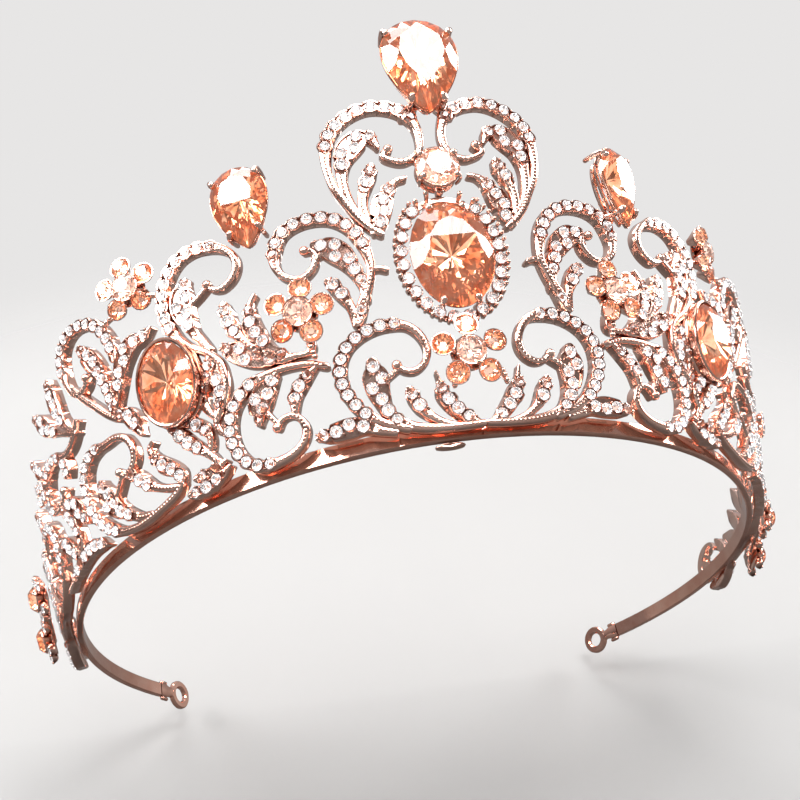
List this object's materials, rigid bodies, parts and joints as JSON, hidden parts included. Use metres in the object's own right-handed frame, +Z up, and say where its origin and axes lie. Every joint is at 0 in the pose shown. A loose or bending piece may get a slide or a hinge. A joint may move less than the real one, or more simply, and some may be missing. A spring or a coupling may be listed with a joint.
{
  "type": "bridal tiara",
  "caption": "Bridal tiara: leaning openwork of scrolls, leaves and flowers on a sprung head rail, set with faceted oval, pear and round stones, with an eyelet at each end.",
  "frame": {"origin": "centre of the bottom of the bounding box, under the worn tiara; the lowest rear cups touch z = 0 and the rail's bottom edge lies 3.4 mm above it", "axes": "+Z up as worn; the jewelled front faces -Y; +X is to the right of a person who looks at the front; the open back of the rail faces +Y"},
  "size_m": [0.151, 0.137, 0.074],
  "materials": {
    "rose_gold": "polished rose gold plating over a cast and strip metal body",
    "peach_crystal": "faceted peach crystal with a foiled back"
  },
  "bodies": {
    "root": {"base_scroll_left": "rose_gold", "base_scroll_right": "rose_gold", "centre_halo": "rose_gold", "centre_oval_setting": "rose_gold", "centre_oval_stone": "peach_crystal", "crest_pear_setting": "rose_gold", "crest_pear_stone": "peach_crystal", "crest_round_setting": "rose_gold", "crest_round_stone": "peach_crystal", "crest_scrollwork": "rose_gold", "end_loop_left": "rose_gold", "end_loop_right": "rose_gold", "far_scroll_left": "rose_gold", "far_scroll_right": "rose_gold", "flower_spray_left": "rose_gold", "flower_spray_right": "rose_gold", "head_rail": "rose_gold", "lower_flower": "rose_gold", "lower_flower_stone": "peach_crystal", "lower_scroll_left": "rose_gold", "lower_scroll_right": "rose_gold", "mid_flower_left": "rose_gold", "mid_flower_right": "rose_gold", "mid_flower_stone_left": "peach_crystal", "mid_flower_stone_right": "peach_crystal", "mid_scroll_left": "rose_gold", "mid_scroll_right": "rose_gold", "outer_scroll_left": "rose_gold", "outer_scroll_right": "rose_gold", "oval_leaf_spray_left": "rose_gold", "oval_leaf_spray_right": "rose_gold", "rail_solder_tab": "rose_gold", "rear_cups_left": "rose_gold", "rear_cups_right": "rose_gold", "rear_flower_left": "rose_gold", "rear_flower_right": "rose_gold", "rear_round_lower_left": "peach_crystal", "rear_round_lower_right": "peach_crystal", "rear_round_upper_left": "peach_crystal", "rear_round_upper_right": "peach_crystal", "rear_spray_left": "rose_gold", "rear_spray_right": "rose_gold", "side_oval_bezel_left": "rose_gold", "side_oval_bezel_right": "rose_gold", "side_oval_stone_left": "peach_crystal", "side_oval_stone_right": "peach_crystal", "side_pear_setting_left": "rose_gold", "side_pear_setting_right": "rose_gold", "side_pear_stone_left": "peach_crystal", "side_pear_stone_right": "peach_crystal", "side_scroll_left": "rose_gold", "side_scroll_right": "rose_gold", "tail_spray_left": "rose_gold", "tail_spray_right": "rose_gold", "top_flower_left": "rose_gold", "top_flower_right": "rose_gold", "top_flower_stone_left": "peach_crystal", "top_flower_stone_right": "peach_crystal"}
  },
  "joints": []
}
